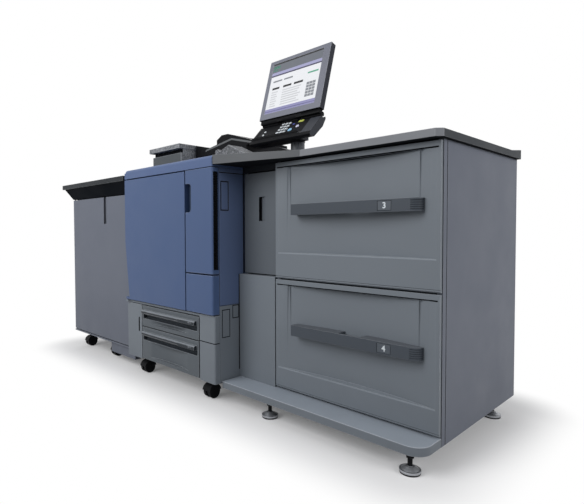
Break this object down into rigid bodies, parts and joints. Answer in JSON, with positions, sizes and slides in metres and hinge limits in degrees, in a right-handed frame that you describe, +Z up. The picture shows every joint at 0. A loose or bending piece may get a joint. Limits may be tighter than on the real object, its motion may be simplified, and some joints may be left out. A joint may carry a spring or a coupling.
{
  "type": "digital production printer",
  "caption": "Digital production printer line: blue print engine between a stacker and a drawer paper feeder, with relay, work table, document feeder and tilting control panel.",
  "frame": {"origin": "centre of the footprint box, on the floor", "axes": "+X along the line towards the paper feeder, +Y to the back, +Z up; the doors and drawers face -Y"},
  "size_m": [2.564, 0.998, 1.5716],
  "materials": {
    "grey_panel": "satin",
    "dark_grey_panel": "satin",
    "blue_cover": "satin",
    "blue_side": "satin",
    "grey_plastic": "satin",
    "light_plastic": "satin",
    "black_plastic": "satin",
    "laminate": "satin",
    "handle_slate": "satin",
    "zinc": "satin",
    "pad_rubber": "matte",
    "display_glass": "gloss",
    "platen": "gloss",
    "key_plastic": "gloss"
  },
  "bodies": {
    "line_frame": {"feeder_right_side": "grey_panel", "feeder_left_side": "grey_panel", "feeder_back": "grey_panel", "feeder_top_panel": "dark_grey_panel", "feeder_shelf": "dark_grey_panel", "feeder_base": "grey_plastic", "work_surface": "laminate", "drawer_rails": "zinc", "levelling_feet": "zinc", "foot_pads": "pad_rubber", "relay_body": "dark_grey_panel", "relay_lower_cover": "grey_plastic", "work_table": "laminate", "engine_body": "blue_side", "engine_cap": "blue_cover", "engine_narrow_cover": "blue_cover", "engine_lower_cover": "blue_cover", "side_louvre": "black_plastic", "engine_side_panel": "blue_side", "engine_base": "grey_plastic", "engine_left_cover": "grey_plastic", "engine_right_cover": "grey_plastic", "engine_casters": "black_plastic", "output_box": "dark_grey_panel", "output_box_lid": "light_plastic", "scanner": "black_plastic", "platen_glass": "platen", "paper_rest": "light_plastic", "panel_post": "light_plastic", "stacker_body": "grey_panel", "stacker_cornice": "black_plastic", "stacker_surface": "laminate", "stacker_casters": "black_plastic"},
    "drawer_3": {"drawer_3_front": "grey_plastic", "drawer_3_handle": "handle_slate", "drawer_3_tray": "zinc"},
    "drawer_4": {"drawer_4_front": "grey_plastic", "drawer_4_handle": "handle_slate", "drawer_4_tray": "zinc"},
    "cassette_1": {"cassette_1_front": "grey_plastic", "cassette_1_tray": "zinc"},
    "cassette_2": {"cassette_2_front": "grey_plastic", "cassette_2_tray": "zinc"},
    "front_door": {"engine_front_door": "blue_cover"},
    "relay_access_door": {"relay_door": "grey_plastic"},
    "stacker_front_door": {"stacker_door": "grey_panel"},
    "feeder_lid": {"document_feeder": "black_plastic"},
    "panel_head": {"key_housing": "black_plastic", "panel_keys": "key_plastic"},
    "monitor_head": {"monitor": "light_plastic", "screen": "display_glass"}
  },
  "joints": [
    {"name": "drawer_3_slide", "type": "slide", "parent": "line_frame", "child": "drawer_3", "axis": [0, -1, 0], "range_m": [0, 0.5]},
    {"name": "drawer_4_slide", "type": "slide", "parent": "line_frame", "child": "drawer_4", "axis": [0, -1, 0], "range_m": [0, 0.5]},
    {"name": "cassette_1_slide", "type": "slide", "parent": "line_frame", "child": "cassette_1", "axis": [0, -1, 0], "range_m": [0, 0.42]},
    {"name": "cassette_2_slide", "type": "slide", "parent": "line_frame", "child": "cassette_2", "axis": [0, -1, 0], "range_m": [0, 0.42]},
    {"name": "front_door_hinge", "type": "hinge", "parent": "line_frame", "child": "front_door", "pos_m": [-0.436, -0.485, 0.73], "axis": [0, 0, -1], "range_deg": [0, 90]},
    {"name": "relay_door_hinge", "type": "hinge", "parent": "line_frame", "child": "relay_access_door", "pos_m": [0.337, -0.292, 0.82], "axis": [0, 0, -1], "range_deg": [0, 90]},
    {"name": "stacker_door_hinge", "type": "hinge", "parent": "line_frame", "child": "stacker_front_door", "pos_m": [-1.217, -0.435, 0.56], "axis": [0, 0, -1], "range_deg": [0, 90]},
    {"name": "feeder_lid_hinge", "type": "hinge", "parent": "line_frame", "child": "feeder_lid", "pos_m": [0.0495, 0.183, 1.185], "axis": [-1, 0, 0], "range_deg": [0, 60]},
    {"name": "panel_swivel", "type": "hinge", "parent": "line_frame", "child": "panel_head", "pos_m": [0.601, -0.245, 1.18], "axis": [0, 0, 1], "range_deg": [-30, 30]},
    {"name": "monitor_tilt", "type": "hinge", "parent": "panel_head", "child": "monitor_head", "pos_m": [0.567, -0.245, 1.264], "axis": [-1, 0, 0], "range_deg": [-10, 20]}
  ]
}
